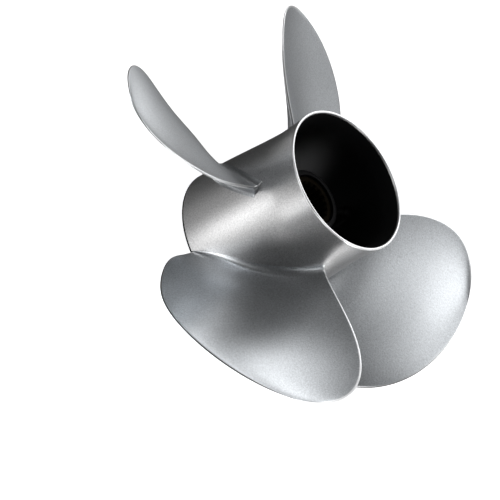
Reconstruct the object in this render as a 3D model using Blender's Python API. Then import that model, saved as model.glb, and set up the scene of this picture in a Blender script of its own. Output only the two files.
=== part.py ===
"""Four-bladed stainless steel ship propeller with a hollow, flow-through hub.

Metres, +Z up. The shaft axis is Z and points aft, so the open mouth of the hub looks up and
the flat front end of the hub stands on z = 0. Blades are counted counterclockwise seen from aft.
"""
import math

import bmesh
import bpy
from mathutils import Matrix, Vector

# Overall size
TIP_RADIUS = 0.250
BLADE_COUNT = 4
GAP = 0.0003

# Turns the set of blades so that +X passes through the middle of the first blade's root
BLADE_SET_ANGLE = -9.2

# Barrel: the outer tube of the hub. It is full at the front, narrows to a neck and flares to its mouth.
BARREL_LENGTH = 0.166
BARREL_FRONT_RADIUS = 0.0837
BARREL_NECK_RADIUS = 0.0782
BARREL_NECK_HEIGHT = 0.124
BARREL_MOUTH_RADIUS = 0.0811
FRONT_FULLNESS = 1.5
FLARE_POWER = 1.6
BARREL_WALL = 0.0055
MOUTH_RIM_WIDTH = 0.0028
MOUTH_BEVEL_LENGTH = 0.022
EDGE_BREAK = 0.0008
BARREL_RINGS = 16
ROUND_STEPS = 72

# Inner hub, its ribs and the splined drive sleeve
INNER_HUB_START = 0.004
INNER_HUB_LENGTH = 0.112
INNER_HUB_FRONT_RADIUS = 0.041
INNER_HUB_REAR_RADIUS = 0.035
SLEEVE_RADIUS = 0.0285
SLEEVE_END_SETBACK = 0.003
SPLINE_COUNT = 18
SPLINE_ROOT_RADIUS = 0.0225
SPLINE_TIP_RADIUS = 0.0205
INNER_STEPS = 48
WEB_THICKNESS = 0.009
WEB_START = 0.014
WEB_END = 0.098
WEB_ANGLE = 45.0

# Blade outline. SPAN 0 is the reference radius at the hub, SPAN 1 is the tip.
BLADE_BASE_RADIUS = 0.0808
PITCH_ROOT, PITCH_MIDDLE, PITCH_TIP = 0.381, 0.641, 0.6235
MIDLINE_HEIGHT_ROOT, MIDLINE_HEIGHT_MIDDLE, MIDLINE_HEIGHT_TIP = 0.0592, 0.0667, 0.1005
SKEW_COEFFICIENTS = (76.9, -108.1, 61.4)
WIDTH_ROOT, WIDTH_MIDDLE, WIDTH_TIP = 0.169, 0.256, 0.397

# Near the hub the leading edge is cut back, and its foot then runs down to the barrel's front end
LEADING_CUT_SPAN = 0.164
LEADING_CUT_ANGLE = 19.3
LEADING_CUT_RISE = 0.0059
LEADING_FOOT_HEIGHT = 0.014
LEADING_FOOT_ANGLE = 2.7
LEADING_FOOT_DROP = 0.0115
LEADING_FOOT_CHORD = 0.35

# Blade section, measured square to the driving face. The hollow in the middle of the width and the cup, which
# leans it towards the trailing edge, are sums of powers of the span: the face is round half way out.
THICKNESS_ROOT = 0.0125
THICKNESS_TIP = 0.0042
LEADING_EDGE_THICKNESS = 0.0018
TRAILING_EDGE_THICKNESS = 0.0030
TIP_EDGE_THICKNESS = 0.0016
FACE_HOLLOW = (0.0020, -0.0225, 0.0145, 0.0117)
FACE_CUP = (0.0, 0.0158, -0.0084)
FILLET_LEADING = 0.0020
FILLET_TRAILING = 0.0095
FILLET_GROWTH = 0.7

# Fineness of the blade mesh
CHORD_STEPS = 14
ROOT_HEIGHTS = (GAP, 0.0010, 0.0025, 0.0050, 0.0080)
FIRST_SPAN_STEP = 0.03
SPAN_STEPS = 15
LAST_SPAN = 0.9992
CAP_ROWS = 4
RADIUS_ROUNDS = 12


def clear_scene():
    for item in list(bpy.data.objects):
        bpy.data.objects.remove(item, do_unlink=True)


def steel(name, colour, roughness):
    """One metal finish for one sub-part."""
    material = bpy.data.materials.new(name)
    material.use_nodes = True
    shader = material.node_tree.nodes["Principled BSDF"]
    shader.inputs["Base Color"].default_value = (*colour, 1.0)
    shader.inputs["Roughness"].default_value = roughness
    shader.inputs["Metallic"].default_value = 1.0
    return material


def add_object(name, mesh, material):
    item = bpy.data.objects.new(name, mesh)
    bpy.context.scene.collection.objects.link(item)
    if not mesh.materials:
        mesh.materials.append(material)
    mesh.shade_smooth()
    mesh.set_sharp_from_angle(angle=math.radians(35.0))
    return item


def three_point(root, middle, tip, span):
    """The parabola through a value at the root, half way out and at the tip."""
    bend = 2.0 * (root + tip - 2.0 * middle)
    return root + (tip - root - bend) * span + bend * span * span


def barrel_radius(z):
    """Outer radius of the barrel at a height above its front end."""
    if z < BARREL_NECK_HEIGHT:
        before_neck = min(1.0, (BARREL_NECK_HEIGHT - z) / BARREL_NECK_HEIGHT)
        share = math.sin(math.pi / 2.0 * before_neck) ** FRONT_FULLNESS
        return BARREL_NECK_RADIUS + (BARREL_FRONT_RADIUS - BARREL_NECK_RADIUS) * share
    past_neck = (z - BARREL_NECK_HEIGHT) / (BARREL_LENGTH - BARREL_NECK_HEIGHT)
    return BARREL_NECK_RADIUS + (BARREL_MOUTH_RADIUS - BARREL_NECK_RADIUS) * past_neck ** FLARE_POWER


def barrel_bore(z):
    """Inner radius of the barrel: full wall, opened out by a long bevel at the mouth."""
    into_bevel = max(0.0, z - (BARREL_LENGTH - MOUTH_BEVEL_LENGTH)) / MOUTH_BEVEL_LENGTH
    wall = BARREL_WALL + (MOUTH_RIM_WIDTH - BARREL_WALL) * into_bevel
    return barrel_radius(z) - wall


def turned(name, outer, inner, steps, material):
    """A closed ring turned about Z from its outer and inner lines, both listed from the top down."""
    mesh = bpy.data.meshes.new(name)
    shape = bmesh.new()
    outline = [Vector((r, 0.0, z)) for r, z in outer + inner[::-1]]
    points = [shape.verts.new(p) for p in outline]
    edges = [shape.edges.new((points[i - 1], points[i])) for i in range(len(points))]
    bmesh.ops.spin(shape, geom=points + edges, cent=(0, 0, 0), axis=(0, 0, 1),
                   angle=math.tau, steps=steps, use_merge=True)
    bmesh.ops.recalc_face_normals(shape, faces=shape.faces)
    shape.to_mesh(mesh)
    shape.free()
    return add_object(name, mesh, material)


def make_barrel():
    heights = [BARREL_LENGTH * (1.0 - i / BARREL_RINGS) for i in range(BARREL_RINGS + 1)]
    outer = [(barrel_radius(z), z) for z in heights[1:-1]]
    outer.insert(0, (barrel_radius(BARREL_LENGTH) - EDGE_BREAK, BARREL_LENGTH))
    outer.insert(1, (barrel_radius(BARREL_LENGTH), BARREL_LENGTH - EDGE_BREAK))
    outer.append((barrel_radius(0.0), EDGE_BREAK))
    outer.append((barrel_radius(0.0) - EDGE_BREAK, 0.0))
    bevel_start = BARREL_LENGTH - MOUTH_BEVEL_LENGTH
    bore_heights = [BARREL_LENGTH, bevel_start] + [z for z in heights if z < bevel_start]
    inner = [(barrel_bore(z), z) for z in bore_heights]
    return turned("hub_barrel", outer, inner, ROUND_STEPS, steel("barrel_steel", (0.56, 0.57, 0.58), 0.32))


def inner_hub_radius(z):
    along = (z - INNER_HUB_START) / INNER_HUB_LENGTH
    return INNER_HUB_FRONT_RADIUS + (INNER_HUB_REAR_RADIUS - INNER_HUB_FRONT_RADIUS) * along


def make_inner_hub():
    bottom, top = INNER_HUB_START, INNER_HUB_START + INNER_HUB_LENGTH
    outer = [(inner_hub_radius(top) - EDGE_BREAK, top), (inner_hub_radius(top), top - EDGE_BREAK),
             (inner_hub_radius(bottom), bottom + EDGE_BREAK), (inner_hub_radius(bottom) - EDGE_BREAK, bottom)]
    bore = SLEEVE_RADIUS + GAP
    inner = [(bore, top), (bore, bottom)]
    return turned("inner_hub", outer, inner, INNER_STEPS, steel("inner_hub_steel", (0.30, 0.30, 0.31), 0.5))


def make_sleeve():
    """Drive sleeve: a plain round outside and a bore with square splines."""
    bottom = INNER_HUB_START + SLEEVE_END_SETBACK
    top = INNER_HUB_START + INNER_HUB_LENGTH - SLEEVE_END_SETBACK
    points_per_spline = 4
    count = SPLINE_COUNT * points_per_spline
    bore_radii = (SPLINE_ROOT_RADIUS, SPLINE_ROOT_RADIUS, SPLINE_TIP_RADIUS, SPLINE_TIP_RADIUS)
    mesh = bpy.data.meshes.new("spline_sleeve")
    shape = bmesh.new()
    columns = []
    for i in range(count):
        angle = math.tau * i / count
        bore = bore_radii[i % points_per_spline]
        loop = ((SLEEVE_RADIUS, bottom), (SLEEVE_RADIUS, top), (bore, top), (bore, bottom))
        columns.append([shape.verts.new((r * math.cos(angle), r * math.sin(angle), z)) for r, z in loop])
    for i in range(count):
        here, there = columns[i], columns[(i + 1) % count]
        for k in range(4):
            shape.faces.new((here[k], there[k], there[(k + 1) % 4], here[(k + 1) % 4]))
    bmesh.ops.recalc_face_normals(shape, faces=shape.faces)
    shape.to_mesh(mesh)
    shape.free()
    return add_object("spline_sleeve", mesh, steel("sleeve_bronze", (0.45, 0.33, 0.16), 0.4))


def make_webs():
    """Radial ribs that carry the inner hub in the barrel, with the flow passages between them."""
    foot_clearance = WEB_THICKNESS ** 2 / (8.0 * BARREL_FRONT_RADIUS) + 2.0 * GAP
    steps = 6
    heights = [WEB_START + (WEB_END - WEB_START) * i / steps for i in range(steps + 1)]
    outline = [(inner_hub_radius(z) + GAP, z) for z in heights]
    outline += [(barrel_bore(z) - foot_clearance, z) for z in reversed(heights)]
    mesh = bpy.data.meshes.new("web")
    shape = bmesh.new()
    profile = shape.faces.new([shape.verts.new((r, -WEB_THICKNESS / 2.0, z)) for r, z in outline])
    swept = bmesh.ops.extrude_face_region(shape, geom=[profile])
    moved = [item for item in swept["geom"] if isinstance(item, bmesh.types.BMVert)]
    bmesh.ops.translate(shape, verts=moved, vec=(0.0, WEB_THICKNESS, 0.0))
    bmesh.ops.recalc_face_normals(shape, faces=shape.faces)
    shape.to_mesh(mesh)
    shape.free()
    material = steel("web_steel", (0.30, 0.30, 0.31), 0.5)
    webs = []
    for i in range(BLADE_COUNT):
        web = add_object(f"web_{i + 1}", mesh, material)
        web.rotation_euler.z = math.radians(WEB_ANGLE) + math.tau * i / BLADE_COUNT
        webs.append(web)
    return webs


def span_at(radius):
    return (radius - BLADE_BASE_RADIUS) / (TIP_RADIUS - BLADE_BASE_RADIUS)


def face_point(chord, radius):
    """Driving face of the blade: angle and height at a share of the chord (0 leading, 1 trailing)."""
    span = span_at(radius)
    pitch = three_point(PITCH_ROOT, PITCH_MIDDLE, PITCH_TIP, span)
    slope = math.atan2(pitch, math.tau * radius)
    width = three_point(WIDTH_ROOT, WIDTH_MIDDLE, WIDTH_TIP, span)
    width *= math.sqrt(max(0.0, 1.0 - span * span))
    skew = math.radians(sum(c * span ** (k + 1) for k, c in enumerate(SKEW_COEFFICIENTS)))
    height = three_point(MIDLINE_HEIGHT_ROOT, MIDLINE_HEIGHT_MIDDLE, MIDLINE_HEIGHT_TIP, span)
    along = (chord - 0.5) * width
    angle = skew + along * math.cos(slope) / radius
    height += along * math.sin(slope)

    near_hub = math.exp(-(max(0.0, span) / LEADING_CUT_SPAN) ** 2)
    cut = (1.0 - chord) * near_hub
    angle += math.radians(LEADING_CUT_ANGLE) * cut
    height += LEADING_CUT_RISE * cut

    above = max(0.0, radius - barrel_radius(height))
    foot = max(0.0, 1.0 - above / LEADING_FOOT_HEIGHT) ** 2
    foot *= max(0.0, 1.0 - chord / LEADING_FOOT_CHORD) ** 2
    angle += math.radians(LEADING_FOOT_ANGLE) * foot
    height -= LEADING_FOOT_DROP * foot
    return angle, height, slope


def fillet_width(above, chord):
    """How far the root fillet stands out of the blade at a height above the barrel."""
    size = FILLET_LEADING + (FILLET_TRAILING - FILLET_LEADING) * chord ** FILLET_GROWTH
    if above >= size:
        return 0.0
    return size - math.sqrt(size * size - (size - above) ** 2)


def section_offsets(chord, span, above):
    """Distances of the driving face and of the back from the blade's reference surface, forward positive."""
    bulge = 4.0 * chord * (1.0 - chord)
    edge = LEADING_EDGE_THICKNESS + (TRAILING_EDGE_THICKNESS - LEADING_EDGE_THICKNESS) * chord
    edge += (TIP_EDGE_THICKNESS - edge) * max(0.0, span) ** 2
    thick = THICKNESS_ROOT + (THICKNESS_TIP - THICKNESS_ROOT) * max(0.0, span)
    fade = math.sqrt(max(0.0, 1.0 - max(0.0, span) ** 4))
    out = max(0.0, span)
    hollow = sum(c * out ** k for k, c in enumerate(FACE_HOLLOW))
    cup = sum(c * out ** k for k, c in enumerate(FACE_CUP))
    hollow = (hollow + cup * (2.0 * chord - 1.0)) * bulge * fade
    fillet = fillet_width(above, chord)
    return hollow - fillet, hollow + edge + (thick - edge) * bulge * fade + fillet


def placed(chord, radius, offset):
    """A point moved off the reference surface, towards the front of the propeller."""
    angle, height, slope = face_point(chord, radius)
    angle += offset * math.sin(slope) / radius
    height -= offset * math.cos(slope)
    return angle, height


def on_radius(angle, height, radius):
    return Vector((radius * math.cos(angle), radius * math.sin(angle), height))


def section(level):
    """Points along the face and the back of the blade at one level: a height above the barrel or a span.

    A point at a height above the barrel needs its own height along the shaft to find the barrel's radius,
    so its radius is found in a few rounds.
    """
    kind, value = level
    face, back = [], []
    for i in range(CHORD_STEPS + 1):
        chord = i / CHORD_STEPS
        for side, line in ((0, face), (1, back)):
            if kind == "above":
                radius = BLADE_BASE_RADIUS
                for _ in range(RADIUS_ROUNDS):
                    offset = section_offsets(chord, span_at(radius), value)[side]
                    angle, height = placed(chord, radius, offset)
                    radius = barrel_radius(height) + value
                line.append(on_radius(angle, height, radius))
            else:
                radius = BLADE_BASE_RADIUS + (TIP_RADIUS - BLADE_BASE_RADIUS) * value
                offset = section_offsets(chord, value, radius - BLADE_BASE_RADIUS)[side]
                angle, height = placed(chord, radius, offset)
                line.append(on_radius(angle, height, radius))
    return face, back


def blade_levels():
    """Close rings through the root fillet, then rings that crowd together towards the tip."""
    levels = [("above", height) for height in ROOT_HEIGHTS]
    first = span_at(BLADE_BASE_RADIUS + ROOT_HEIGHTS[-1]) + FIRST_SPAN_STEP
    for i in range(SPAN_STEPS):
        run = i / (SPAN_STEPS - 1)
        levels.append(("span", first + (LAST_SPAN - first) * (1.0 - (1.0 - run) ** 2)))
    return levels


def root_cap(face, back):
    """Rows of points across the root, all on the barrel's surface, from the face to the back."""
    rows = []
    for k in range(1, CAP_ROWS):
        share = k / CAP_ROWS
        row = []
        for a, b in zip(face, back):
            middle = a.lerp(b, share)
            angle = math.atan2(middle.y, middle.x)
            row.append(on_radius(angle, middle.z, barrel_radius(middle.z) + GAP))
        rows.append(row)
    return rows


def skin(shape, rows):
    """Quads over a grid of vertices."""
    for low, high in zip(rows, rows[1:]):
        for i in range(len(low) - 1):
            shape.faces.new((low[i], low[i + 1], high[i + 1], high[i]))


def make_blade_mesh():
    mesh = bpy.data.meshes.new("blade")
    shape = bmesh.new()
    sections = [section(level) for level in blade_levels()]
    face = [[shape.verts.new(p) for p in ring[0]] for ring in sections]
    back = [[shape.verts.new(p) for p in ring[1]] for ring in sections]
    skin(shape, face)
    skin(shape, back)
    for end in (0, CHORD_STEPS):
        skin(shape, [[row[end] for row in face], [row[end] for row in back]])
    between = [[shape.verts.new(p) for p in row] for row in root_cap(*sections[0])]
    skin(shape, [face[0]] + between + [back[0]])
    for end in (0, CHORD_STEPS):
        corner = [row[end] for row in between]
        shape.faces.new([face[0][end]] + corner + [back[0][end]])
    skin(shape, [face[-1], back[-1]])
    bmesh.ops.recalc_face_normals(shape, faces=shape.faces)
    shape.to_mesh(mesh)
    shape.free()
    return mesh


def make_blades():
    mesh = make_blade_mesh()
    material = steel("blade_steel", (0.56, 0.57, 0.58), 0.38)
    for i in range(BLADE_COUNT):
        blade = add_object(f"blade_{i + 1}", mesh, material)
        turn = math.radians(BLADE_SET_ANGLE) + math.tau * i / BLADE_COUNT
        blade.matrix_world = Matrix.Rotation(turn, 4, "Z")


clear_scene()
make_barrel()
make_inner_hub()
make_sleeve()
make_webs()
make_blades()
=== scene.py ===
# %% [markdown]
# # A ship propeller with a hollow hub
# This file is a lesson in cells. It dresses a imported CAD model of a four-bladed stainless steel propeller:
# the CAD model fixes every size and place, and the cells below build finer surfaces on the same laws and
# give them their finishes. Lengths are metres. +Z is the shaft axis and points aft, out of the hub's open
# mouth.

# %% Load the fixed frame
import math

import bpy
import numpy as np
from mathutils import Matrix, Vector


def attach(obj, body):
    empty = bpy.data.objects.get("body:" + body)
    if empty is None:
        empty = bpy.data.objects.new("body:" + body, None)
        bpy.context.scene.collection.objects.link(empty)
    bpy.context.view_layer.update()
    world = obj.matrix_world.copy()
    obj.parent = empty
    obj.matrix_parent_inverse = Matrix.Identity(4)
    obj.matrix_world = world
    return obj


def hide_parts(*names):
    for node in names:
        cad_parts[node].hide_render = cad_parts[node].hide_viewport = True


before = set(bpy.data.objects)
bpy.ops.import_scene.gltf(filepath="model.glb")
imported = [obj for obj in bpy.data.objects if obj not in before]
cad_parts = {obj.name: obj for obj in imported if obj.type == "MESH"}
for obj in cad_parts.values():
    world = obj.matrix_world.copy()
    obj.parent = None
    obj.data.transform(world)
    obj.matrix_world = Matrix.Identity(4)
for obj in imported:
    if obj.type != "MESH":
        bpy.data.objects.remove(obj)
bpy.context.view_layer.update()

print("CAD nodes:", ", ".join(sorted(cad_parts)))

# %% [markdown]
# ## The camera
# The picture was taken from far away with a long lens, so lines that are parallel on the propeller stay
# nearly parallel in it. Three angles place the shaft: how far it leans from the line of sight, which way it
# points in the picture, and how far the propeller is turned about it. They could be found by eye, but they
# came from matching the blade outlines. The camera is made from them by writing the shaft's directions as
# the camera sees them and turning that matrix round.

# %% Camera
PICTURE_PIXELS = 500
SENSOR_MM = 36.0
SHAFT_LEAN = math.radians(53.75)
SHAFT_DIRECTION = math.radians(30.15)
PROPELLER_TURN = math.radians(21.34)
CAMERA_DISTANCE = 5.333
PIXELS_PER_METRE = 931.4
ORIGIN_PIXEL = (237.9, 243.8)
FARTHEST_SEEN = 100.0


def seen_from_camera():
    """The matrix from the row's frame to the camera's: x right, y up, z towards the viewer."""
    shaft = Vector((math.sin(SHAFT_LEAN) * math.cos(SHAFT_DIRECTION),
                    math.sin(SHAFT_LEAN) * math.sin(SHAFT_DIRECTION), math.cos(SHAFT_LEAN)))
    across = Vector((-math.sin(SHAFT_DIRECTION), math.cos(SHAFT_DIRECTION), 0.0))
    third = shaft.cross(across)
    turned = Matrix((across, third, shaft)).transposed() @ Matrix.Rotation(PROPELLER_TURN, 3, "Z")
    middle = PICTURE_PIXELS / 2
    place = Vector(((ORIGIN_PIXEL[0] - middle) / PIXELS_PER_METRE,
                    (middle - ORIGIN_PIXEL[1]) / PIXELS_PER_METRE, -CAMERA_DISTANCE))
    return Matrix.Translation(place) @ turned.to_4x4()


lens = bpy.data.cameras.new("photo_camera")
lens.sensor_width = SENSOR_MM
lens.lens = SENSOR_MM * PIXELS_PER_METRE * CAMERA_DISTANCE / PICTURE_PIXELS
lens.clip_end = FARTHEST_SEEN
camera = bpy.data.objects.new("photo_camera", lens)
bpy.context.scene.collection.objects.link(camera)
camera.matrix_world = seen_from_camera().inverted()
bpy.context.scene.camera = camera
print(f"Camera: {lens.lens:.0f} mm lens, {CAMERA_DISTANCE:.2f} m away")

# %% [markdown]
# ## The laws of the propeller
# A propeller is drawn by laws along its span: pitch, width, skew and the height of its middle line. They
# are the same laws as in the CAD source, written again here for whole numpy arrays, so that the finer
# surfaces lie on the CAD solids. A law is a parabola through its values at the root, half way out and at
# the tip.

# %% Hub and blade laws
TIP_RADIUS = 0.250
BLADE_COUNT = 4
BLADE_SET_ANGLE = math.radians(-9.2)

BARREL_LENGTH = 0.166
BARREL_FRONT_RADIUS = 0.0837
BARREL_NECK_RADIUS = 0.0782
BARREL_NECK_HEIGHT = 0.124
BARREL_MOUTH_RADIUS = 0.0811
FRONT_FULLNESS = 1.5
FLARE_POWER = 1.6
BARREL_WALL = 0.0055
MOUTH_RIM_WIDTH = 0.0028
MOUTH_BEVEL_LENGTH = 0.022

BLADE_BASE_RADIUS = 0.0808
PITCH = (0.381, 0.641, 0.6235)
MIDLINE_HEIGHT = (0.0592, 0.0667, 0.1005)
SKEW_DEGREES = (76.9, -108.1, 61.4)
WIDTH = (0.169, 0.256, 0.397)
LEADING_CUT_SPAN = 0.164
LEADING_CUT_ANGLE = math.radians(19.3)
LEADING_CUT_RISE = 0.0059
LEADING_FOOT_HEIGHT = 0.014
LEADING_FOOT_ANGLE = math.radians(2.7)
LEADING_FOOT_DROP = 0.0115
LEADING_FOOT_CHORD = 0.35
THICKNESS = (0.0125, 0.0042)
LEADING_EDGE_THICKNESS = 0.0018
TRAILING_EDGE_THICKNESS = 0.0030
TIP_EDGE_THICKNESS = 0.0016
FACE_HOLLOW = (0.0020, -0.0225, 0.0145, 0.0117)
FACE_CUP = (0.0, 0.0158, -0.0084)
FILLET_LEADING = 0.0020
FILLET_TRAILING = 0.0095
FILLET_GROWTH = 0.7


def three_point(values, span):
    """The parabola through the values at the root, half way out and at the tip."""
    root, middle, tip = values
    bend = 2.0 * (root + tip - 2.0 * middle)
    return root + (tip - root - bend) * span + bend * span ** 2


def powers(coefficients, span):
    """A sum of powers of the span, from the power 0 on."""
    return sum(c * span ** k for k, c in enumerate(coefficients))


def barrel_radius(z):
    """Full at the front like a sine arch, narrowest at the neck, and a flare that grows as a power past it."""
    before_neck = np.clip((BARREL_NECK_HEIGHT - z) / BARREL_NECK_HEIGHT, 0.0, 1.0)
    past_neck = np.clip((z - BARREL_NECK_HEIGHT) / (BARREL_LENGTH - BARREL_NECK_HEIGHT), 0.0, None)
    front = (BARREL_FRONT_RADIUS - BARREL_NECK_RADIUS) * np.sin(math.pi / 2.0 * before_neck) ** FRONT_FULLNESS
    return BARREL_NECK_RADIUS + front + (BARREL_MOUTH_RADIUS - BARREL_NECK_RADIUS) * past_neck ** FLARE_POWER


def barrel_bore(z):
    """The outer radius less the wall, which thins along a bevel to the rim's width at the mouth."""
    into_bevel = np.clip((z - BARREL_LENGTH + MOUTH_BEVEL_LENGTH) / MOUTH_BEVEL_LENGTH, 0.0, 1.0)
    return barrel_radius(z) - (BARREL_WALL + (MOUTH_RIM_WIDTH - BARREL_WALL) * into_bevel)


def span_at(radius):
    """The share of the span at a radius: 0 at the barrel and 1 at the tip."""
    return (radius - BLADE_BASE_RADIUS) / (TIP_RADIUS - BLADE_BASE_RADIUS)


def blade_width(span):
    """The width law, narrowed as a half ellipse is so that the outline closes at the tip."""
    return three_point(WIDTH, span) * np.sqrt(np.clip(1.0 - span ** 2, 0.0, None))


def driving_face(chord, radius):
    """Angle, height and pitch slope of the blade at a share of its width and a radius.

    The middle line gives an angle and a height, and the width runs along a screw line through it. Near the
    hub the leading side is turned back by a bell curve, and its foot runs down along the barrel.
    """
    span = span_at(radius)
    slope = np.arctan2(three_point(PITCH, span), math.tau * radius)
    along = (chord - 0.5) * blade_width(span)
    skew = np.radians(sum(c * span ** (k + 1) for k, c in enumerate(SKEW_DEGREES)))
    cut = (1.0 - chord) * np.exp(-(np.clip(span, 0.0, None) / LEADING_CUT_SPAN) ** 2)
    angle = skew + along * np.cos(slope) / radius + LEADING_CUT_ANGLE * cut
    height = three_point(MIDLINE_HEIGHT, span) + along * np.sin(slope) + LEADING_CUT_RISE * cut
    above = np.clip(radius - barrel_radius(height), 0.0, None)
    foot = np.clip(1.0 - above / LEADING_FOOT_HEIGHT, 0.0, None) ** 2
    foot = foot * np.clip(1.0 - chord / LEADING_FOOT_CHORD, 0.0, None) ** 2
    return angle + LEADING_FOOT_ANGLE * foot, height - LEADING_FOOT_DROP * foot, slope


print(f"Pitch at the tip {PITCH[2] * 1000:.0f} mm, hub {2000 * BARREL_MOUTH_RADIUS:.0f} mm across its mouth")

# %% [markdown]
# ## From a grid of points to a mesh
# Every new piece is a grid: a function of two parameters gives an array of points, and neighbours in the
# array make the four-sided faces. Where the grid closes on itself its last column is joined to its first.
# Shading normals are averaged by face area, so that a wide flat face stays flat beside a narrow rounded
# edge. A solid is turned the right way out by the sign of its volume.

# %% Grid and mesh helpers
def grid_faces(index, wrap=False):
    """The four-sided faces of an index grid, the last column joined to the first where it wraps."""
    if wrap:
        index = np.concatenate([index, index[:, :1]], axis=1)
    return np.stack([index[:-1, :-1], index[:-1, 1:], index[1:, 1:], index[1:, :-1]], axis=-1).reshape(-1, 4)


def outward(points, faces):
    """The faces, turned round if the solid's volume, the sum of its face cones, comes out negative."""
    a, b, c, d = (points[faces[:, k]] for k in range(4))
    volume = np.sum(a * (np.cross(b, c) + np.cross(c, d))) / 6.0
    return faces if volume > 0.0 else faces[:, ::-1]


def area_normals(points, faces):
    """Point normals: the sum of the normals of the faces around a point, each as long as its face is large."""
    a, b, c, d = (points[faces[:, k]] for k in range(4))
    face_normals = np.cross(c - a, d - b)
    normals = np.zeros_like(points)
    for k in range(4):
        np.add.at(normals, faces[:, k], face_normals)
    return normals / np.maximum(np.linalg.norm(normals, axis=1, keepdims=True), 1e-12)


def make_piece(name, points, faces, material, slot, *replaced, attributes=()):
    """A finished piece from points and faces. Its object sits at the origin and rides on the one body."""
    faces = outward(points, faces)
    mesh = bpy.data.meshes.new(name)
    mesh.from_pydata(points.tolist(), [], faces.tolist())
    for label, values in attributes:
        layer = mesh.attributes.new(label, "FLOAT", "POINT")
        layer.data.foreach_set("value", values.astype(np.float32))
    mesh.shade_smooth()
    mesh.normals_split_custom_set_from_vertices(area_normals(points, faces).tolist())
    mesh.materials.append(material)
    piece = bpy.data.objects.new(name, mesh)
    bpy.context.scene.collection.objects.link(piece)
    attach(piece, "root")
    if replaced:
        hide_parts(*replaced)
    print(f"{name}: {len(points)} points, {len(faces)} faces")
    return piece


def turned_points(profile, steps):
    """A closed profile of (radius, height) rows turned about Z: one column of points for each step of angle."""
    angle = np.arange(steps) * math.tau / steps
    radius, height = profile[:, 0][:, None], profile[:, 1][:, None]
    return np.stack([radius * np.cos(angle), radius * np.sin(angle), height + 0.0 * angle], axis=-1)


def turned_piece(name, profile, steps, material, slot, *replaced, attributes=()):
    """A ring from a closed profile. An attribute given for each profile row is spread round its circle."""
    points = turned_points(profile, steps)
    index = np.arange(len(profile) * steps).reshape(len(profile), steps)
    index = np.concatenate([index, index[:1]], axis=0)
    spread = [(label, np.repeat(values, steps)) for label, values in attributes]
    return make_piece(name, points.reshape(-1, 3), grid_faces(index, wrap=True), material, slot, *replaced,
                      attributes=spread)

# %% [markdown]
# ## Finishes
# The propeller is cast in stainless steel and bead blasted, which leaves a satin skin with a fine sparkle,
# and its edges are ground afterwards; their near-white colour below is partly that and partly a painted
# highlight. The sparkle could be a picture of noise, but a procedural one has the right scale from every
# side: fine noise on the object's own coordinates moves the height, the roughness and the tone a little. It
# is one node group, because the inner castings and the bronze sleeve use it too with their own values.

# %% The grain node group
def new_group(name, inputs, outputs):
    """An empty shader node group with named sockets, and its input and output nodes."""
    group = bpy.data.node_groups.new(name, "ShaderNodeTree")
    for label, kind, value in inputs:
        socket = group.interface.new_socket(label, in_out="INPUT", socket_type=kind)
        if value is not None:
            socket.default_value = value
    for label, kind in outputs:
        group.interface.new_socket(label, in_out="OUTPUT", socket_type=kind)
    return group, group.nodes.new("NodeGroupInput"), group.nodes.new("NodeGroupOutput")


def connect(tree, source, target):
    """A link from one node's output to another's input."""
    tree.links.new(source, target)


def math_node(tree, operation, first, second):
    """A math node. Each of its two values is a number or another node's output."""
    node = tree.nodes.new("ShaderNodeMath")
    node.operation = operation
    for socket, value in zip(node.inputs, (first, second)):
        if isinstance(value, (int, float)):
            socket.default_value = value
        else:
            connect(tree, value, socket)
    return node.outputs[0]


def noise_node(tree, position, scale, detail, sharpness=0.5):
    """A noise texture's value. Position and scale are each a number or another node's output."""
    node = tree.nodes.new("ShaderNodeTexNoise")
    node.inputs["Detail"].default_value = detail
    node.inputs["Roughness"].default_value = sharpness
    for socket, value in ((node.inputs["Vector"], position), (node.inputs["Scale"], scale)):
        if isinstance(value, (int, float)):
            socket.default_value = value
        else:
            connect(tree, value, socket)
    return node.outputs["Fac"]


def make_grain_group():
    """Blasted skin: a sparkle of fine noise, and a slow noise for the uneven touch of blasting and handling."""
    group, given, result = new_group(
        "blasted_grain",
        [("Position", "NodeSocketVector", None), ("Grain Scale", "NodeSocketFloat", 900.0),
         ("Cloud Scale", "NodeSocketFloat", 14.0), ("Base Roughness", "NodeSocketFloat", 0.35),
         ("Roughness Play", "NodeSocketFloat", 0.1), ("Tone Play", "NodeSocketFloat", 0.1),
         ("Cloud Share", "NodeSocketFloat", 0.2)],
        [("Height", "NodeSocketFloat"), ("Roughness", "NodeSocketFloat"), ("Tone", "NodeSocketFloat")])
    position = given.outputs["Position"]
    grain = noise_node(group, position, given.outputs["Grain Scale"], detail=2.0, sharpness=0.8)
    cloud = noise_node(group, position, given.outputs["Cloud Scale"], detail=2.0)
    grain_offset = math_node(group, "SUBTRACT", grain, 0.5)
    cloud_offset = math_node(group, "MULTIPLY", math_node(group, "SUBTRACT", cloud, 0.5),
                             given.outputs["Cloud Share"])
    both = math_node(group, "ADD", grain_offset, cloud_offset)
    play = math_node(group, "MULTIPLY", both, given.outputs["Roughness Play"])
    tone = math_node(group, "MULTIPLY", both, given.outputs["Tone Play"])
    connect(group, grain, result.inputs["Height"])
    connect(group, math_node(group, "ADD", given.outputs["Base Roughness"], play), result.inputs["Roughness"])
    connect(group, math_node(group, "ADD", 1.0, tone), result.inputs["Tone"])
    return group


GRAIN = make_grain_group()
print("Node group:", GRAIN.name)

# %% [markdown]
# ## One function for every metal
# All the metals here differ only in colour, roughness and grain, so one function sets them up: the grain
# group feeds Base Color, Roughness and a Bump node, and the metallic shader itself stays in the material. A
# ground edge is the same metal with a plainer skin and a near-white colour, where the piece's own ground
# attribute says so: the edge is ground, and the near white is also a painted highlight. Where the piece's
# nose attribute says so, the edge's nose is near black instead, a painted dark outline of shade. The barrel
# is a neutral grey and the blades are a little bluer; this difference of tint is painted, the tint of the
# light each of them reflects.

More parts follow.
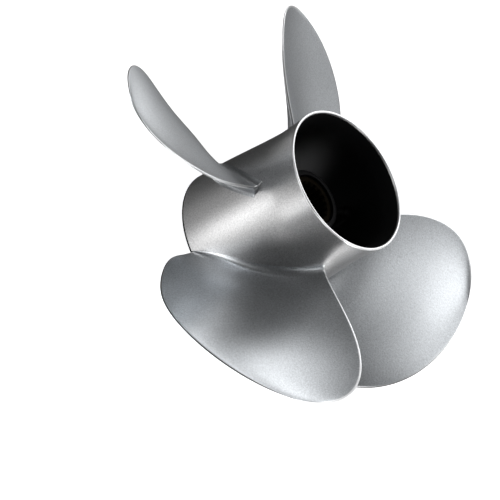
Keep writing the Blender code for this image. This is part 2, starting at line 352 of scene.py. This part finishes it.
# %% Metals
# Near white for ground edges and the mouth rim: partly the bright ground metal, partly a painted highlight.
GROUND_EDGE_AND_PAINTED_HIGHLIGHT = (0.95, 0.96, 0.97, 1.0)
# Near black for the leading edge's nose: a painted dark outline of shade.
PAINTED_SHADE_OUTLINE = (0.07, 0.07, 0.075, 1.0)


def make_metal(name, colour, roughness, grain_scale, roughness_play, tone_play, bump, ground_roughness=None):
    """A metal with blasted grain. ground_roughness is the roughness where the ground attribute is 1. Given it,
    the ground edges are painted near white, partly as a highlight, and the edge's nose near black as painted
    shade.
    """
    material = bpy.data.materials.new(name)
    material.use_nodes = True
    tree = material.node_tree
    shader = tree.nodes["Principled BSDF"]
    shader.inputs["Metallic"].default_value = 1.0
    place = tree.nodes.new("ShaderNodeTexCoord")
    grain = tree.nodes.new("ShaderNodeGroup")
    grain.node_tree = GRAIN
    connect(tree, place.outputs["Object"], grain.inputs["Position"])
    grain.inputs["Grain Scale"].default_value = grain_scale
    grain.inputs["Base Roughness"].default_value = roughness
    grain.inputs["Roughness Play"].default_value = roughness_play
    grain.inputs["Tone Play"].default_value = tone_play
    tint = tree.nodes.new("ShaderNodeMix")
    tint.data_type = "RGBA"
    tint.blend_type = "MULTIPLY"
    tint.inputs["Factor"].default_value = 1.0
    tint.inputs["A"].default_value = (*colour, 1.0)
    connect(tree, grain.outputs["Tone"], tint.inputs["B"])
    colour_out = tint.outputs["Result"]
    skin = grain.outputs["Roughness"]
    height = grain.outputs["Height"]
    # Ground edges get a plainer skin and a near-white colour, which is partly a painted highlight.
    if ground_roughness is not None:
        edge = tree.nodes.new("ShaderNodeAttribute")
        edge.attribute_name = "ground_and_highlight"
        ground_and_highlight = edge.outputs["Fac"]
        rest = math_node(tree, "SUBTRACT", 1.0, ground_and_highlight)
        skin = math_node(tree, "ADD", math_node(tree, "MULTIPLY", skin, rest),
                         math_node(tree, "MULTIPLY", ground_and_highlight, ground_roughness))
        height = math_node(tree, "MULTIPLY", height, rest)
        ground_and_highlight_mix = tree.nodes.new("ShaderNodeMix")
        ground_and_highlight_mix.data_type = "RGBA"
        connect(tree, ground_and_highlight, ground_and_highlight_mix.inputs["Factor"])
        connect(tree, colour_out, ground_and_highlight_mix.inputs["A"])
        ground_and_highlight_mix.inputs["B"].default_value = GROUND_EDGE_AND_PAINTED_HIGHLIGHT
        # The edge's nose is mixed to near black: a painted dark outline of shade.
        painted_shade_nose = tree.nodes.new("ShaderNodeAttribute")
        painted_shade_nose.attribute_name = "painted_shade_nose"
        painted_shade_mix = tree.nodes.new("ShaderNodeMix")
        painted_shade_mix.data_type = "RGBA"
        connect(tree, painted_shade_nose.outputs["Fac"], painted_shade_mix.inputs["Factor"])
        connect(tree, ground_and_highlight_mix.outputs["Result"], painted_shade_mix.inputs["A"])
        painted_shade_mix.inputs["B"].default_value = PAINTED_SHADE_OUTLINE
        colour_out = painted_shade_mix.outputs["Result"]
    connect(tree, colour_out, shader.inputs["Base Color"])
    connect(tree, skin, shader.inputs["Roughness"])
    relief = tree.nodes.new("ShaderNodeBump")
    relief.inputs["Strength"].default_value = 1.0
    relief.inputs["Distance"].default_value = bump
    connect(tree, height, relief.inputs["Height"])
    connect(tree, relief.outputs["Normal"], shader.inputs["Normal"])
    return material


# The blades' steel, a little bluer than the barrel's: that difference is a painted tint of reflected light.
SATIN_STEEL = make_metal("satin_steel", (0.635, 0.66, 0.685), roughness=0.30, grain_scale=650.0,
                         roughness_play=0.06, tone_play=1.0, bump=0.00010, ground_roughness=0.30)
# The barrel's steel, the same metal in a neutral grey: a painted tint of the light it reflects.
BARREL_STEEL_PAINTED_TINT = make_metal("barrel_steel_painted_tint", (0.662, 0.66, 0.662), roughness=0.30, grain_scale=650.0,
                          roughness_play=0.06, tone_play=1.0, bump=0.00010, ground_roughness=0.30)
# Near black for the barrel's bore and the inner castings: painted shade of the hollow hub.
PAINTED_SHADE_CAST_STEEL = make_metal("painted_shade_cast_steel", (0.020, 0.020, 0.021), roughness=0.62, grain_scale=500.0,
                        roughness_play=0.15, tone_play=0.25, bump=0.00008)
# The bronze sleeve is also near black: painted shade of the hollow hub.
PAINTED_SHADE_SLEEVE_BRONZE = make_metal("sleeve_bronze", (0.014, 0.011, 0.007), roughness=0.75, grain_scale=700.0,
                           roughness_play=0.12, tone_play=0.15, bump=0.00002)
print("Metals:", SATIN_STEEL.name, BARREL_STEEL_PAINTED_TINT.name, PAINTED_SHADE_CAST_STEEL.name, PAINTED_SHADE_SLEEVE_BRONZE.name)

# %% [markdown]
# ## The barrel
# The barrel is the hub's outer tube, turned smooth on the outside. It narrows towards a neck and flares at
# its open mouth, where the metal ends in a ground rim whose near-white colour is partly a painted highlight.
# It is a profile carried round the shaft axis: the front edge, the outer wall, the rim and the bore, with each
# corner rounded by a few points on an arc. The bore takes the near-black cast steel, painted shade of the
# hollow inside.

# %% Barrel
def arc(centre, radius, start, end, steps):
    """Points on an arc in the (radius, height) plane, from one angle to another in degrees."""
    angle = np.radians(np.linspace(start, end, steps))
    return np.stack([centre[0] + radius * np.cos(angle), centre[1] + radius * np.sin(angle)], axis=-1)


WALL_ROWS = 90
CORNER_STEPS = 6
RIM_ROUND = 0.0011
FRONT_ROUND = 0.0014
BARREL_STEPS = 288


def barrel_profile():
    """The barrel's closed profile: up the outer wall, over the rim, down the bore and across the front."""
    wall_z = np.linspace(2.0 * FRONT_ROUND, BARREL_LENGTH - 2.0 * RIM_ROUND, WALL_ROWS)
    wall = np.stack([barrel_radius(wall_z), wall_z], axis=-1)
    outer = barrel_radius(BARREL_LENGTH - RIM_ROUND)
    inner = outer - MOUTH_RIM_WIDTH
    top = BARREL_LENGTH - RIM_ROUND
    rim = np.concatenate([arc((outer - RIM_ROUND, top), RIM_ROUND, 0, 90, CORNER_STEPS),
                          arc((inner + RIM_ROUND, top), RIM_ROUND, 90, 180, CORNER_STEPS)])
    bore_z = wall_z[::-1]
    bore = np.stack([barrel_bore(bore_z), bore_z], axis=-1)
    front_outer, front_inner = barrel_radius(0.0), barrel_bore(0.0)
    front = np.concatenate([
        arc((front_inner + FRONT_ROUND, FRONT_ROUND), FRONT_ROUND, 180, 270, CORNER_STEPS),
        arc((front_outer - FRONT_ROUND, FRONT_ROUND), FRONT_ROUND, 270, 360, CORNER_STEPS)])
    ground_and_highlight = np.concatenate([np.zeros(len(wall)), np.ones(len(rim)), np.zeros(len(bore)), np.zeros(len(front))])
    return np.concatenate([wall, rim, bore, front]), ground_and_highlight


# The rim's rows are marked to be painted near white, partly as a highlight.
profile, ground_and_highlight = barrel_profile()
barrel = turned_piece("barrel_shell", profile, BARREL_STEPS, BARREL_STEEL_PAINTED_TINT, "propeller_steel", "hub_barrel",
                      attributes=[("ground_and_highlight", ground_and_highlight)])
# The bore's rows take the near-black cast steel: painted shade inside the barrel.
barrel.data.materials.append(PAINTED_SHADE_CAST_STEEL)
bore_start = WALL_ROWS + 2 * CORNER_STEPS
rows = np.repeat(np.arange(len(profile)), BARREL_STEPS)
inside = rows >= bore_start
barrel.data.polygons.foreach_set("material_index", inside.astype(np.int32))

# %% [markdown]
# ## The blades
# Each blade is a thin shell round a screw surface, round on its back. Its driving face is round half way
# out and hollow towards the tip and the trailing edge, which makers call cup. It has a rounded leading
# edge, a squarer ground trailing edge and a fillet that runs out onto the barrel. It could be lofted from
# drawn sections, but as a grid it is one formula: the rows go up the fillet and then out along the span,
# crowding towards the tip, and the columns go round the section, crowding at its two edges. The same points
# are turned about the shaft for the four blades.

# %% Blade thickness and edges
EDGE_DEPTH_LEADING = 0.00082
EDGE_DEPTH_TRAILING = 0.0006
EDGE_DEPTH_TIP = 0.00074
EDGE_WIDTH_PER_DEPTH = 2.7
EDGE_COLUMNS = 7
PAINTED_SHADE_COLUMNS = 4
FACE_COLUMNS = 44
END_COLUMNS = 3
FILLET_ROWS = 10
SPAN_ROWS = 84
LAST_ANGLE = math.radians(89.85)
SINK = 0.0003
BLEND_HEIGHT = 0.060
WIDEST_EDGE_SHARE = 0.36
WIDEST_EDGE_REACH = 0.9
RADIUS_ROUNDS = 14
BARE_ROOT = 0.008


def edge_distance(chord, span):
    """Distance in from the blade's outline, which is a half circle in the shares of width and of span."""
    close = np.sqrt(np.clip(1.0 - span ** 2, 0.0, 1.0))
    inward = 1.0 - np.sqrt(np.clip(1.0 - close ** 2 * 4.0 * chord * (1.0 - chord), 0.0, 1.0))
    half_width = three_point(WIDTH, span) / 2.0
    reach = TIP_RADIUS - BLADE_BASE_RADIUS
    scale = 1.0 / np.sqrt((close / half_width) ** 2 + (np.clip(span, 0.0, 1.0) / reach) ** 2)
    return inward * scale


def edge_depth(chord, span):
    """How deep the rounding along the outline is: leading edge, trailing edge and tip."""
    out = np.clip(span, 0.0, 1.0) ** 2
    side = EDGE_DEPTH_LEADING + (EDGE_DEPTH_TRAILING - EDGE_DEPTH_LEADING) * chord
    return side + (EDGE_DEPTH_TIP - side) * out


def fillet_size(chord):
    """The fillet's radius, growing as a power of the share of width from leading to trailing edge."""
    return FILLET_LEADING + (FILLET_TRAILING - FILLET_LEADING) * chord ** FILLET_GROWTH


def section_offsets(chord, span, above):
    """How far the driving face and the back stand forward of the screw surface.

    The thickness is a parabola across the width on top of the edge's own thickness. A quarter circle of
    fillet is added near the barrel, and a quarter of an ellipse is ground away near the outline.
    """
    out = np.clip(span, 0.0, 1.0)
    bulge = 4.0 * chord * (1.0 - chord)
    edge = LEADING_EDGE_THICKNESS + (TRAILING_EDGE_THICKNESS - LEADING_EDGE_THICKNESS) * chord
    edge = edge + (TIP_EDGE_THICKNESS - edge) * out ** 2
    thick = THICKNESS[0] + (THICKNESS[1] - THICKNESS[0]) * out
    fade = np.sqrt(np.clip(1.0 - out ** 4, 0.0, 1.0))
    hollow = (powers(FACE_HOLLOW, out) + powers(FACE_CUP, out) * (2.0 * chord - 1.0)) * bulge * fade
    size = fillet_size(chord)
    fillet = size - np.sqrt(size ** 2 - np.clip(size - np.clip(above, 0.0, None), 0.0, None) ** 2)
    depth = edge_depth(chord, span)
    near = np.clip(1.0 - edge_distance(chord, span) / (EDGE_WIDTH_PER_DEPTH * depth), 0.0, 1.0)
    taken = depth * (1.0 - np.sqrt(1.0 - near ** 2))
    return hollow - fillet + taken, hollow + edge + (thick - edge) * bulge * fade + fillet - taken


def blade_rows():
    """For each row: the share of the fillet climbed, and the distance out along the span."""
    climb = 1.0 - np.cos(np.linspace(0.0, math.pi / 2.0, FILLET_ROWS + 1))
    angle = np.linspace(0.0, LAST_ANGLE, SPAN_ROWS + 1)[1:]
    outward_run = (TIP_RADIUS - BLADE_BASE_RADIUS) * np.sin(angle)
    return (np.concatenate([climb, np.ones(SPAN_ROWS)]),
            np.concatenate([np.zeros(FILLET_ROWS + 1), outward_run]))


def chord_columns(span):
    """Shares of the width for every column of every row: crowded over the rounding of each edge."""
    close = np.sqrt(np.clip(1.0 - span ** 2, 1e-9, 1.0))
    lean = np.radians(np.linspace(90.0, 0.0, EDGE_COLUMNS))
    shares = []
    for end in (0.0, 1.0):
        scale = three_point(WIDTH, span) / 2.0
        reach = np.clip(EDGE_WIDTH_PER_DEPTH * edge_depth(end, span) / scale, 0.0, WIDEST_EDGE_REACH)
        within = np.clip((1.0 - (1.0 - reach) ** 2) / close ** 2, 0.0, WIDEST_EDGE_SHARE)
        widest = (1.0 - np.sqrt(1.0 - within)) / 2.0
        shares.append(widest[:, None] * (1.0 - np.sin(lean))[None, :])
    leading, trailing = shares[0], 1.0 - shares[1][:, ::-1]
    step = np.linspace(0.0, 1.0, FACE_COLUMNS + 1)[None, 1:-1]
    middle = leading[:, -1:] + (trailing[:, :1] - leading[:, -1:]) * step
    return np.concatenate([leading, middle, trailing], axis=1)


def blade_sides():
    """Points of the driving face and of the back, one row for each blade row and one column for each share.

    A row's radius follows the barrel at the root and turns into a plain radius further out. It depends on
    the point's own height along the shaft, so it is found in a few rounds.
    """
    climb, run = blade_rows()
    chord = chord_columns(run / (TIP_RADIUS - BLADE_BASE_RADIUS))
    lift = fillet_size(chord) * climb[:, None] * np.clip(1.0 - run[:, None] / BLEND_HEIGHT, 0.0, 1.0) ** 2
    out = run[:, None] + lift
    fade = np.clip(1.0 - out / BLEND_HEIGHT, 0.0, 1.0) ** 2
    sides = []
    for side in (0, 1):
        height = np.full_like(out, MIDLINE_HEIGHT[0])
        for _ in range(RADIUS_ROUNDS):
            barrel_here = barrel_radius(height)
            radius = np.minimum(BLADE_BASE_RADIUS + out + (barrel_here - BLADE_BASE_RADIUS) * fade, TIP_RADIUS)
            angle, height, slope = driving_face(chord, radius)
            offset = section_offsets(chord, span_at(radius), radius - barrel_here)[side]
            angle = angle + offset * np.sin(slope) / radius
            height = height - offset * np.cos(slope)
        radius = np.where(out <= 0.0, barrel_radius(height) - SINK, radius)
        sides.append(np.stack([radius * np.cos(angle), radius * np.sin(angle), height], axis=-1))
    return sides


face_side, back_side = blade_sides()
print(f"Blade grid: {face_side.shape[0]} rows, {face_side.shape[1]} columns a side")

# %% [markdown]
# The two sides are joined at the leading and trailing edges by a few columns straight across, which keeps
# the trailing edge flat between its rounded corners. Two lids close the shell: one hidden in the barrel's
# wall and a very small one at the tip.

# %% Blade shells
def across(first, second, steps):
    """Points between two rows of points, without the rows themselves."""
    share = (np.arange(steps) + 1.0) / (steps + 1.0)
    return first[..., None, :] + (second - first)[..., None, :] * share[:, None]


def blade_shell(face, back):
    """All points and faces of a closed blade, with how ground each point is and where the edge's nose is.
    Ground points are painted near white, partly as a highlight, and the nose near black as painted shade.

    The tube's columns go along the face from trailing to leading edge, across the leading edge, along the
    back and across the trailing edge. Each lid is a grid between the face row and the back row.
    """
    row_count, columns = face.shape[:2]
    leading = across(face[:, 0], back[:, 0], END_COLUMNS)
    trailing = across(back[:, -1], face[:, -1], END_COLUMNS)
    tube = np.concatenate([face[:, ::-1], leading, back, trailing], axis=1)
    index = np.arange(tube.shape[0] * tube.shape[1]).reshape(tube.shape[:2])
    faces = [grid_faces(index, wrap=True)]
    points = [tube.reshape(-1, 3)]
    count = index.size
    for row in (0, row_count - 1):
        lid = across(face[row, 1:-1], back[row, 1:-1], END_COLUMNS).transpose(1, 0, 2)
        if row == 0:
            radius = np.hypot(lid[..., 0], lid[..., 1])
            wanted = barrel_radius(lid[..., 2]) - SINK
            lid = lid * np.stack([wanted / radius, wanted / radius, np.ones_like(radius)], axis=-1)
        inner = count + np.arange(lid.shape[0] * lid.shape[1]).reshape(lid.shape[:2])
        count += inner.size
        points.append(lid.reshape(-1, 3))
        line = index[row]
        face_line = line[:columns][::-1]
        leading_line = line[columns:columns + END_COLUMNS]
        back_line = line[columns + END_COLUMNS:2 * columns + END_COLUMNS]
        trailing_line = line[2 * columns + END_COLUMNS:][::-1]
        middle = np.concatenate([leading_line[:, None], inner, trailing_line[:, None]], axis=1)
        lid_index = np.concatenate([face_line[None], middle, back_line[None]], axis=0)
        lid_faces = grid_faces(lid_index)
        faces.append(lid_faces if row == 0 else lid_faces[:, ::-1])
    # Ground edge columns are marked to be painted near white, partly as a highlight; at the root the trailing
    # edge's mark fades out.
    ground_and_highlight = np.zeros(tube.shape[:2])
    ground_and_highlight[:, :EDGE_COLUMNS - 1] = 1.0
    ground_and_highlight[:, columns - EDGE_COLUMNS + 1:columns + END_COLUMNS + EDGE_COLUMNS - 1] = 1.0
    ground_and_highlight[:, 2 * columns + END_COLUMNS - EDGE_COLUMNS + 1:] = 1.0
    run = blade_rows()[1][:, None]
    end_face = np.clip((run - BARE_ROOT) / BARE_ROOT, 0.0, 1.0)
    ground_and_highlight[:, 2 * columns + END_COLUMNS - EDGE_COLUMNS + 1:] *= end_face
    # The leading edge's nose columns are marked to be painted near black: a painted dark outline of shade.
    painted_shade_nose = np.zeros(tube.shape[:2])
    painted_shade_nose[:, columns - PAINTED_SHADE_COLUMNS:columns + END_COLUMNS + EDGE_COLUMNS] = 1.0
    lids = np.zeros(count - ground_and_highlight.size)
    attributes = [("ground_and_highlight", np.concatenate([ground_and_highlight.ravel(), lids])),
                  ("painted_shade_nose", np.concatenate([painted_shade_nose.ravel(), lids]))]
    return np.concatenate(points), np.concatenate(faces), attributes


def turned_about_shaft(points, angle):
    """The points turned about Z by an angle."""
    c, s = math.cos(angle), math.sin(angle)
    return points @ np.array([[c, s, 0.0], [-s, c, 0.0], [0.0, 0.0, 1.0]])


blade_points, blade_faces, blade_marks = blade_shell(face_side, back_side)
for number in range(BLADE_COUNT):
    turn = BLADE_SET_ANGLE + math.tau * number / BLADE_COUNT
    make_piece(f"blade_skin_{number + 1}", turned_about_shaft(blade_points, turn), blade_faces, SATIN_STEEL,
               "propeller_steel", f"blade_{number + 1}", attributes=blade_marks)

# %% [markdown]
# ## Inside the hub
# Exhaust and water leave through the hub, so an inner hub stands clear of the barrel on four ribs, one
# casting with both. It is all coloured near black, like the barrel's bore: painted shade of the hollow hub.
# The inner hub could be a cylinder primitive with bevels, but as a profile turned about the shaft, like the
# barrel, it takes its taper and its rounded ends from a few named values.

# %% Inner hub
INNER_HUB_BOTTOM = 0.004
INNER_HUB_TOP = 0.116
INNER_HUB_FRONT_RADIUS = 0.041
INNER_HUB_REAR_RADIUS = 0.035
INNER_HUB_BORE = 0.0288
INNER_HUB_ROUND = 0.0022
INNER_HUB_BORE_BEVEL = 0.0006
INNER_HUB_ROWS = 30
INNER_STEPS = 144


def inner_hub_radius(z):
    """A straight taper from the front radius to the rear radius."""
    along = (z - INNER_HUB_BOTTOM) / (INNER_HUB_TOP - INNER_HUB_BOTTOM)
    return INNER_HUB_FRONT_RADIUS + (INNER_HUB_REAR_RADIUS - INNER_HUB_FRONT_RADIUS) * along


def inner_hub_profile():
    """Up the tapered outside, over the rounded top edge, down the plain bore and round the bottom edge."""
    low, high, corner, bevel = INNER_HUB_BOTTOM, INNER_HUB_TOP, INNER_HUB_ROUND, INNER_HUB_BORE_BEVEL
    wall_z = np.linspace(low + 1.5 * corner, high - 1.5 * corner, INNER_HUB_ROWS)
    wall = np.stack([inner_hub_radius(wall_z), wall_z], axis=-1)
    top = arc((inner_hub_radius(high) - corner, high - corner), corner, 0, 90, CORNER_STEPS)
    bottom = arc((inner_hub_radius(low) - corner, low + corner), corner, 270, 360, CORNER_STEPS)
    bore = np.array([(INNER_HUB_BORE + bevel, high), (INNER_HUB_BORE, high - bevel),
                     (INNER_HUB_BORE, low + bevel), (INNER_HUB_BORE + bevel, low)])
    return np.concatenate([wall, top, bore, bottom])


turned_piece("inner_hub_casting", inner_hub_profile(), INNER_STEPS, PAINTED_SHADE_CAST_STEEL, "inner_steel", "inner_hub")

# %% [markdown]
# The four ribs carry the inner hub. A rib could be a box, but castings have no sharp corners: here it is
# every point at one distance from a straight core line, and that distance grows as a quarter circle towards
# both walls, which makes the fillets. The same rib is turned about the shaft for the four places.

# %% Ribs
RIB_THICKNESS = 0.009
RIB_BOTTOM = 0.014
RIB_TOP = 0.098
RIB_FILLET = 0.006
RIB_ANGLE = math.radians(45.0)
RIB_ROUND_STEPS = 9
RIB_SIDE_STEPS = 18
RIB_FILLET_ROWS = 9
RIB_MIDDLE_ROWS = 8


def rib_shell():
    """A rib pointing along +X: points and faces.

    Across the rib the outline is a core line with a distance around it, which is half the thickness plus the
    fillet. The fillet is a quarter circle in the way that is left to the nearer wall. A row's radius goes in
    equal shares from the inner hub to the barrel's bore at each point's own height.
    """
    lean = np.radians(np.linspace(-90.0, 90.0, 2 * RIB_ROUND_STEPS)[1:-1])
    low_turn, high_turn = lean[lean < 0.0], lean[lean > 0.0]
    turn = np.concatenate([low_turn, np.zeros(RIB_SIDE_STEPS), high_turn])
    half = RIB_THICKNESS / 2.0
    low, high = RIB_BOTTOM + half, RIB_TOP - half
    core = np.concatenate([np.full(len(low_turn), low), np.linspace(low, high, RIB_SIDE_STEPS),
                           np.full(len(high_turn), high)])
    climb = RIB_FILLET * (1.0 - np.cos(np.linspace(0.0, math.pi / 2.0, RIB_FILLET_ROWS)))
    reach = barrel_bore(0.5 * (RIB_BOTTOM + RIB_TOP)) - inner_hub_radius(0.5 * (RIB_BOTTOM + RIB_TOP))
    middle = np.linspace(RIB_FILLET, reach - RIB_FILLET, RIB_MIDDLE_ROWS + 2)[1:-1]
    way = np.concatenate([climb, middle, reach - climb[::-1]])
    left = np.clip(RIB_FILLET - np.minimum(way, reach - way), 0.0, None)
    around = half + RIB_FILLET - np.sqrt(RIB_FILLET ** 2 - left ** 2)
    aside = around[:, None] * np.cos(turn)
    height = core + around[:, None] * np.sin(turn)
    share = (way / reach)[:, None]
    radius = (inner_hub_radius(height) - SINK) * (1.0 - share) + (barrel_bore(height) + SINK) * share
    forward = np.sqrt(radius ** 2 - aside ** 2)
    right_side = np.stack([forward, aside, height], axis=-1)
    left_side = right_side * np.array([1.0, -1.0, 1.0])
    tube = np.concatenate([right_side, left_side[:, ::-1]], axis=1)
    index = np.arange(tube.shape[0] * tube.shape[1]).reshape(tube.shape[:2])
    faces = [grid_faces(index, wrap=True)]
    for row in (0, -1):
        lid = np.stack([index[row, :len(turn)], index[row, len(turn):][::-1]])
        faces.append(grid_faces(lid) if row == 0 else grid_faces(lid)[:, ::-1])
    return tube.reshape(-1, 3), np.concatenate(faces)


rib_points, rib_faces = rib_shell()
for number in range(BLADE_COUNT):
    turn = RIB_ANGLE + math.tau * number / BLADE_COUNT
    make_piece(f"rib_{number + 1}", turned_about_shaft(rib_points, turn), rib_faces, PAINTED_SHADE_CAST_STEEL,
               "inner_steel", f"web_{number + 1}")

# %% [markdown]
# ## The drive sleeve
# The shaft turns the propeller through a bronze sleeve with splines in its bore. The splines could be cut
# one by one, but they are a wave: the bore's radius goes up and down with the angle, held flat at its tips
# and roots, and the wave fades out at both ends, where the real sleeve has a lead-in for the shaft.

# %% Splined sleeve
SLEEVE_RADIUS = 0.0285
SLEEVE_BOTTOM = 0.007
SLEEVE_TOP = 0.113
SLEEVE_BEVEL = 0.0008
SPLINE_COUNT = 18
SPLINE_ROOT_RADIUS = 0.0225
SPLINE_TIP_RADIUS = 0.0205
SPLINE_TIP_ANGLE = math.radians(12.5)
SPLINE_STEEPNESS = 1.4
STEPS_PER_SPLINE = 16
LEAD_IN_ROWS = 6
LEAD_IN_LENGTH = 0.003
LEAD_IN_RADIUS = 0.0231


def spline_wave(angle):
    """1 on a spline's tip and 0 in a root: a cosine made steep, cut off at 0 and 1, and eased at its corners."""
    cut = np.clip(0.5 + SPLINE_STEEPNESS * np.cos(SPLINE_COUNT * (angle - SPLINE_TIP_ANGLE)), 0.0, 1.0)
    return cut * cut * (3.0 - 2.0 * cut)


def sleeve_shell():
    """Rows go up the round outside and down the bore. The bore's rows carry the wave times their own share."""
    steps = SPLINE_COUNT * STEPS_PER_SPLINE
    angle = np.arange(steps) * math.tau / steps
    low, high, bevel = SLEEVE_BOTTOM, SLEEVE_TOP, SLEEVE_BEVEL
    lead = np.linspace(0.0, 1.0, LEAD_IN_ROWS)
    outside = [(SLEEVE_RADIUS - bevel, low, 0.0), (SLEEVE_RADIUS, low + bevel, 0.0),
               (SLEEVE_RADIUS, high - bevel, 0.0), (SLEEVE_RADIUS - bevel, high, 0.0)]
    top = [(LEAD_IN_RADIUS + (SPLINE_ROOT_RADIUS - LEAD_IN_RADIUS) * s, high - LEAD_IN_LENGTH * s, s)
           for s in lead]
    bottom = [(radius, low + high - z, s) for radius, z, s in reversed(top)]
    rows = np.array(outside + top + bottom)
    radius = rows[:, :1] + (SPLINE_TIP_RADIUS - SPLINE_ROOT_RADIUS) * rows[:, 2:] * spline_wave(angle)
    height = rows[:, 1:2] + 0.0 * angle
    points = np.stack([radius * np.cos(angle), radius * np.sin(angle), height], axis=-1)
    index = np.arange(len(rows) * steps).reshape(len(rows), steps)
    index = np.concatenate([index, index[:1]], axis=0)
    return points.reshape(-1, 3), grid_faces(index, wrap=True)


sleeve_points, sleeve_faces = sleeve_shell()
# The sleeve's near-black bronze is painted shade of the hollow hub.
make_piece("splined_sleeve_skin", sleeve_points, sleeve_faces, PAINTED_SHADE_SLEEVE_BRONZE, "sleeve_bronze", "spline_sleeve")

# %% [markdown]
# ## The floor
# Product pictures of this kind are taken on a light table: a pale sheet lit from below, so that no shadow
# shows and light reaches the part from underneath. The floor here glows white for the camera and lets the
# studio light through for everything else. Seen from below it would hide the part, so its back is clear.

# %% Floor
FLOOR_SIZE = 30.0
FLOOR_TONE = (0.8, 0.8, 0.8, 1.0)
FLOOR_GLOW = 0.9
WHITE = (1.0, 1.0, 1.0, 1.0)


def make_floor():
    """A white glowing square at height 0. Its material turns clear on the side that faces down."""
    half = FLOOR_SIZE / 2.0
    mesh = bpy.data.meshes.new("floor")
    mesh.from_pydata([(-half, -half, 0.0), (half, -half, 0.0), (half, half, 0.0), (-half, half, 0.0)], [],
                     [(0, 1, 2, 3)])
    material = bpy.data.materials.new("white_floor")
    material.use_nodes = True
    tree = material.node_tree
    shader = tree.nodes["Principled BSDF"]
    shader.inputs["Base Color"].default_value = FLOOR_TONE
    shader.inputs["Roughness"].default_value = 0.9
    shader.inputs["Emission Color"].default_value = WHITE
    shader.inputs["Emission Strength"].default_value = FLOOR_GLOW
    side = tree.nodes.new("ShaderNodeNewGeometry")
    clear = tree.nodes.new("ShaderNodeBsdfTransparent")
    choice = tree.nodes.new("ShaderNodeMixShader")
    connect(tree, side.outputs["Backfacing"], choice.inputs[0])
    connect(tree, shader.outputs[0], choice.inputs[1])
    connect(tree, clear.outputs[0], choice.inputs[2])
    connect(tree, choice.outputs[0], tree.nodes["Material Output"].inputs["Surface"])
    mesh.materials.append(material)
    floor = bpy.data.objects.new("floor", mesh)
    bpy.context.scene.collection.objects.link(floor)
    floor.visible_glossy = False
    floor.visible_diffuse = False
    floor.visible_shadow = False
    return floor


floor = make_floor()
print("Floor:", FLOOR_SIZE, "m square")

# %% [markdown]
# ## The studio light
# Metal shows what stands around it, so its light is a surrounding with soft bright patches, as a studio has
# with its white sheets and boxes, and dark between them. Lamps could stand in for the sheets, but a lamp
# has an edge. A patch in the world's own shader fades away smoothly: its strength is the exponential of how
# far a direction turns away from the patch's middle. Each patch has an azimuth from +X, an elevation over
# the floor, the angle at which it has faded by half, and a strength. Its name tells how large it is and
# where it stands as the camera sees it. The camera itself sees plain white.

# %% Studio light
STUDIO_PATCHES = {
    "soft box right, above": (-78, 45, 9, 2.44),
    "lamp box right, level": (-165, 58, 8, 1.85),
    "sheet right, above": (-82, 60, 74, 0.10),
    "soft box front left, level": (38, -21, 13, 1.90),
    "soft box front right, above": (-77, 79, 11, 1.84),
    "second soft box front left, level": (38, -7, 13, 2.18),
    "second lamp box right, level": (-154, 63, 8, 0.88),
    "third lamp box right, level": (-161, 69, 7, 0.78),
    "soft box back right, above": (-101, 19, 14, 1.87),
    "soft box left, level": (65, -44, 9, 2.07),
    "sheet back right, level": (-162, 5, 20, 1.45),
    "lamp box front right, level": (116, 45, 6, 4.35),
    "lamp box back right, above": (-68, 26, 8, 1.03),
    "lamp box back right, level": (-104, -4, 8, 0.49),
    "soft box right, level": (-169, 63, 12, 0.10),
    "fourth lamp box right, level": (-154, 43, 6, 2.56),
    "soft box left, above": (-4, -24, 16, 0.40),
    "lamp box front left, below": (100, -20, 8, 9.04),
    "soft box back right, below": (150, -21, 13, 8.89),
    "second lamp box back right, above": (-61, 19, 8, 2.02),
    "lamp box front left, above": (-4, 21, 8, 2.09),
    "lamp box back left, below": (145, -60, 6, 26.84),
    "third lamp box back right, above": (-107, 28, 8, 2.12),
    "lamp box left, level": (18, -72, 8, 0.97),
    "lamp box in front, below": (122, 8, 6, 2.52),
    "lamp box back left, level": (-58, -54, 6, 5.29),
}


def patch_direction(azimuth, elevation):
    """The unit vector for an azimuth from +X and an elevation, both in degrees."""
    azimuth, elevation = math.radians(azimuth), math.radians(elevation)
    level = math.cos(elevation)
    return level * math.cos(azimuth), level * math.sin(azimuth), math.sin(elevation)


def make_studio(patches):
    """A world whose strength is the sum of soft patches, and plain white where the camera looks at it."""
    world = bpy.data.worlds.new("studio")
    world.use_nodes = True
    tree = world.node_tree
    direction = tree.nodes.new("ShaderNodeTexCoord").outputs["Generated"]
    total = 0.0
    for azimuth, elevation, half_width, strength in patches.values():
        middle = tree.nodes.new("ShaderNodeVectorMath")
        middle.operation = "DOT_PRODUCT"
        connect(tree, direction, middle.inputs[0])
        middle.inputs[1].default_value = patch_direction(azimuth, elevation)
        sharpness = math.log(2.0) / (1.0 - math.cos(math.radians(half_width)))
        turned_away = math_node(tree, "SUBTRACT", middle.outputs["Value"], 1.0)
        fading = math_node(tree, "EXPONENT", math_node(tree, "MULTIPLY", turned_away, sharpness), 0.0)
        total = math_node(tree, "ADD", math_node(tree, "MULTIPLY", fading, strength), total)
    studio = tree.nodes["Background"]
    connect(tree, total, studio.inputs["Strength"])
    studio.inputs["Color"].default_value = WHITE
    backdrop = tree.nodes.new("ShaderNodeBackground")
    backdrop.inputs["Color"].default_value = WHITE
    ray = tree.nodes.new("ShaderNodeLightPath")
    choice = tree.nodes.new("ShaderNodeMixShader")
    connect(tree, ray.outputs["Is Camera Ray"], choice.inputs[0])
    connect(tree, studio.outputs[0], choice.inputs[1])
    connect(tree, backdrop.outputs[0], choice.inputs[2])
    connect(tree, choice.outputs[0], tree.nodes["World Output"].inputs["Surface"])
    return world


bpy.context.scene.view_settings.view_transform = "Standard"
bpy.context.scene.world = make_studio(STUDIO_PATCHES)
print("Studio patches:", len(STUDIO_PATCHES))
